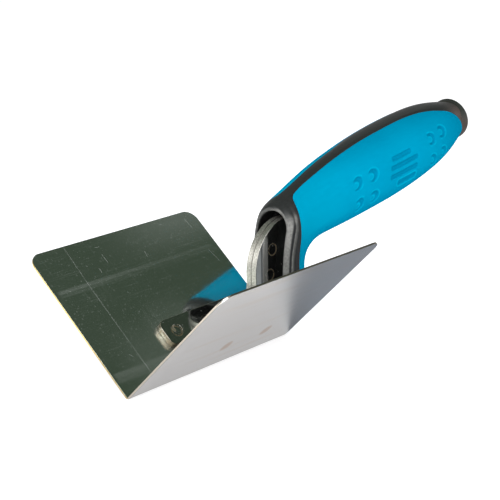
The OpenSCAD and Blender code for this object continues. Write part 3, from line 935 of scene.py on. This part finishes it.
def rubber(name, base, light, spec, rough0, cap=False):
    s = Mat(name)
    P = s.tool()
    fine = s.noise(P, 2.6, 4.0, .7)
    grain = s.noise(P, .9, 4.0, .65)
    broad = s.noise(P, .06, 2.0)
    scuff = s.mul(s.range(s.noise(P, 1.0, 4.0, .65, (.35, .9, 2.2)), .60, .72), s.range(s.noise(P, .11, 2.0), .42, .60))
    lint = s.specks(P, .45, .07, .35)
    col = s.mix(s.range(grain, .3, .75), base, light)
    col = s.mix(s.mul(scuff, .30), col, tuple(min(1, 3.2 * c) for c in light))
    col = s.mix(s.mul(lint, .5), col, (.16, .16, .15))
    x, y, z = s.sep(P)[0:3]
    nx, ny, nz = s.normal()[0:3]
    if cap:
        col = s.mix(s.mul(broad, s.range(z, 84.0, 76.0), .8), col, (.070, .040, .028))
    else:
        # painted highlight along the rolled front, flecked by the grain, and painted shade down the sides
        col = s.mix(s.mul(s.range(s.math("ABSOLUTE", ny), .6, .93), s.range(x, 135.0, 120.0), .75), col, (.006, .0065, .0065))
        facing = s.add(s.mul(nx, -.64), s.mul(ny, -.74), s.mul(nz, .20))
        crest = s.math("MAXIMUM", s.range(facing, .80, .99), s.mul(s.range(nx, -.72, -.95), .85))
        painted_highlight_lip = s.mul(s.range(nx, -.12, -.50), s.range(x, 114.0, 106.5), s.range(y, 3.0, -4.0, .40, 1.0), s.range(nz, .62, .22), s.range(s.math("ABSOLUTE", y), 11.2, 10.3, .22, 1.0),
                     s.range(grain, .30, .62, .62, 1.0), s.add(.20, s.mul(crest, .80)))
        col = s.mix(painted_highlight_lip, col, (.215, .212, .202))
        # painted shade: the moulding's inside, round the shank, made near black
        painted_shade_inside = s.math("MAXIMUM", s.range(s.mul(s.math("SIGN", y), ny), -.50, -.85), s.range(nz, -.35, -.75))
        painted_shade_inside = s.mul(painted_shade_inside, s.range(x, 108.5, 107.5), s.range(z, 22.2, 24.0))
        col = s.mix(painted_shade_inside, col, (.004, .004, .004))
        col = s.mix(s.mul(s.range(x, 219.0, 234.0), s.range(z, 91.0, 84.0), .85), col, (.060, .031, .018))
    s.set(Base_Color=col, Roughness=s.add(rough0, s.mul(fine, .16), s.mul(scuff, .12)))
    s.b.inputs["Specular IOR Level"].default_value = spec
    s.bump(s.add(s.mul(fine, .035), s.mul(grain, .05), s.mul(scuff, .03)), .8, .001)
    return s.m


def blue_rubber():
    s = Mat("blue_soft_touch_rubber")
    P = s.tool()
    fine = s.noise(P, 3.2, 4.0, .7)
    grain = s.noise(P, 1.1, 3.0, .6)
    broad = s.noise(P, .045, 2.0)
    lint = s.specks(P, .22, .035, .25)
    x, y, z = s.sep(P)[0:3]
    painted_shade_rear = s.range(x, 188.0, 242.0)
    col = s.mix(s.range(broad, .3, .7), BLUE_A, BLUE_B)
    col = s.mix(s.mul(s.range(grain, .35, .75), .16), col, BLUE_C)
    # painted shade: darker towards the butt
    col = s.mix(s.mul(painted_shade_rear, .75), col, (.0, .190, .325))
    # painted light: lighter towards the top by the collar
    col = s.mix(s.mul(s.range(x, 150.0, 112.0), s.range(z, 44.0, 54.0), .6), col, (.0, .290, .455))
    # painted shade: darker low on the leg, towards the front
    col = s.mix(s.mul(s.range(z, 34.0, 24.0), s.range(x, 136.0, 120.0), .5), col, (.0, .20, .345))
    col = s.mix(s.mul(lint, .25), col, (.20, .48, .62))
    nx, ny, nz = s.normal()[0:3]
    # painted shade: darker where the surface faces down
    col = s.mix(s.mul(s.range(nz, .05, -.75), .62), col, (.0, .150, .265))
    pressed = s.node("Attribute", attribute_name="pressed").outputs["Fac"]
    # darker inside the sunk marks, and lighter on their lips, which is a painted highlight
    col = s.mix(s.mul(s.range(pressed, .0, 1.0), .62), col, (.0, .165, .30))
    col = s.mix(s.mul(s.range(pressed, .0, -1.0), .60), col, (.0, .345, .52))
    s.set(Base_Color=col, Roughness=s.add(.50, s.mul(fine, .14)))
    s.b.inputs["Specular IOR Level"].default_value = 0.0
    s.bump(s.add(s.mul(fine, .022), s.mul(grain, .03)), .7, .001)
    return s.m


# scratches and bands on the inside of the left wing: x and the distance from the fold, mm
SCR = [((20.0, 75.5), (19.3, 54.0)), ((19.3, 54.0), (19.3, 7.0)), ((36.4, 66.8), (36.6, 61.9)), ((94.2, 72.3), (94.7, 66.4)),
       ((94.9, 53.1), (96.3, 46.1)), ((59.4, 62.4), (58.9, 59.3)), ((30.3, 60.8), (29.9, 58.4)), ((15.2, 18.2), (16.2, 16.8)),
       ((35.6, 71.0), (37.4, 70.8))]
BAND = [((1.0, 54.9), (97.0, 54.9))]
INNER_A, INNER_B = (.66, .71, .665), (.71, .755, .715)
OUTER_A, OUTER_B = (.246, .241, .241), (.288, .282, .280)
BLUE_A, BLUE_B, BLUE_C = (.0, .236, .398), (.0, .250, .416), (.0, .275, .437)

# ---------------------------------------------------------------- pieces
blue = build_blue()
charcoal = build_charcoal()
blade = build_blade()
tang_l, tang_r = build_tang(1), build_tang(-1)
cap = build_cap()

m_blade, m_tang = steel_blade(), steel_tang()
for piece, node, slot, mat in (
        (blue, "blue_grip", "blue_soft_grip", blue_rubber()),
        (charcoal, "charcoal_overmould", "charcoal_rubber", rubber("charcoal_rubber_moulded", (.016, .0175, .0175), (.025, .0265, .0265), .42, .38)),
        (blade, "blade", "blade_steel", m_blade),
        (tang_l, "tang_plate_left", "tang_steel", m_tang),
        (tang_r, "tang_plate_right", "tang_steel", m_tang),
        (cap, "end_cap", "cap_plastic", rubber("cap_dark_plastic", (.018, .021, .017), (.028, .029, .024), .6, .42, cap=True))):
    piece.data.materials.append(mat)
    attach(piece, "root")
    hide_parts(node)

for node, mat in (("handle_core", core_plastic()), ("tang_pins", steel_pin())):
    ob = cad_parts[node]
    ob.data.materials.clear()
    ob.data.materials.append(mat)

# ---------------------------------------------------------------- floor, light, camera
def plane(name, x0, x1, y0, y1, z):
    me = bpy.data.meshes.new(name)
    me.from_pydata([(x0, y0, z), (x1, y0, z), (x1, y1, z), (x0, y1, z)], [], [(0, 1, 2, 3)])
    return link(bpy.data.objects.new(name, me))


floor = plane("floor", -4, 4, -4, 4, 0.0)
fm = Mat("floor_pale", Roughness=.9)
fn = fm.noise(fm.obj(), 6.0, 3.0)
fm.set(Base_Color=fm.mix(fn, (.83, .83, .83), (.87, .87, .87)))
fm.b.inputs["Specular IOR Level"].default_value = 0.0
fm.b.inputs["Emission Color"].default_value = (1, 1, 1, 1)
fm.b.inputs["Emission Strength"].default_value = .60
floor.data.materials.append(fm.m)


def card(name, x0, x1, y0, y1, z, a, b, glow=0.0):
    """A card on the table, seen only in reflections."""
    ob = plane(name, x0, x1, y0, y1, z)
    m = Mat(name, Roughness=.9)
    m.set(Base_Color=m.mix(m.noise(m.obj(), 5.0, 2.0), a, b))
    m.b.inputs["Specular IOR Level"].default_value = 0.0
    m.b.inputs["Emission Color"].default_value = (1, 1, 1, 1)
    m.b.inputs["Emission Strength"].default_value = glow
    ob.data.materials.append(m.m)
    ob.visible_camera = ob.visible_diffuse = ob.visible_shadow = ob.visible_transmission = False


card("card_behind", (103.5 - 123.3) / 1000, .9, -.035, .6, .0003, (.53, .55, .59), (.58, .60, .64))
card("card_beside", (103.5 - 123.3) / 1000, .9, -.9, -.035, .0003, (.44, .44, .46), (.49, .49, .51))
card("card_front", -.46, -.04, -.50, -.055, .0004, (.8, .8, .8), (.82, .82, .82), 4.5)
card("card_left", -.46, -.14, .055, .50, .0004, (.8, .8, .8), (.82, .82, .82), 3.5)

world = bpy.data.worlds.new("studio")
bpy.context.scene.world = world
world.use_nodes = True
wt = world.node_tree
bg = wt.nodes["Background"]
W = Mat.__new__(Mat)
W.nt = wt
direction = W.node("TexCoord").outputs["Generated"]
paths = W.node("LightPath").outputs
# the room as polished surfaces see it: pale at table height, dark above
up = W.sep(direction)[2]
high = W.range(up, .12, .46)
tilt = W.range(W.vec("DOT_PRODUCT", direction, (-.35, .86, .36)), -.55, .35)
dark = W.mix(tilt, (.052, .074, .050), (.068, .092, .066))
room = W.mix(high, (.80, .805, .81), dark)
colour = W.mix(paths["Is Glossy Ray"], (.48, .485, .495), room)
colour = W.mix(paths["Is Camera Ray"], colour, (1.0, 1.0, 1.0))
wt.links.new(colour, bg.inputs["Color"])
bg.inputs["Strength"].default_value = 1.0


def area(name, loc, size, radiance, target=(0, 0, .04), colour=(1, 1, 1)):
    d = bpy.data.lights.new(name, "AREA")
    d.shape, d.size, d.size_y, d.color = "RECTANGLE", size[0], size[1], colour
    d.energy = radiance * math.pi * size[0] * size[1]
    ob = link(bpy.data.objects.new(name, d))
    ob.location = loc
    ob.visible_camera = False
    ob.rotation_euler = (Vector(target) - Vector(loc)).to_track_quat("-Z", "Y").to_euler()
    return ob


area("key", (-.72, -.44, .92), (.85, .85), 3.4)
area("front", (-.60, -.97, .33), (.75, .52), 5.5)
area("left", (-.80, .80, .42), (.75, .60), 2.7)

cam = bpy.data.cameras.new("camera")
cam.lens, cam.sensor_width, cam.clip_start, cam.clip_end = 102.517, 36.0, .01, 50
camera = link(bpy.data.objects.new("camera", cam))
camera.matrix_world = Matrix(((0.64416553, 0.21621648, -0.73369013, -0.501935),
                              (-0.76397112, 0.1349693, -0.63097656, -0.394385),
                              (-0.03740188, 0.96697142, 0.25212572, 0.202486),
                              (0, 0, 0, 1)))
bpy.context.scene.camera = camera
bpy.context.scene.view_settings.view_transform = "Standard"

bpy.context.view_layer.update()
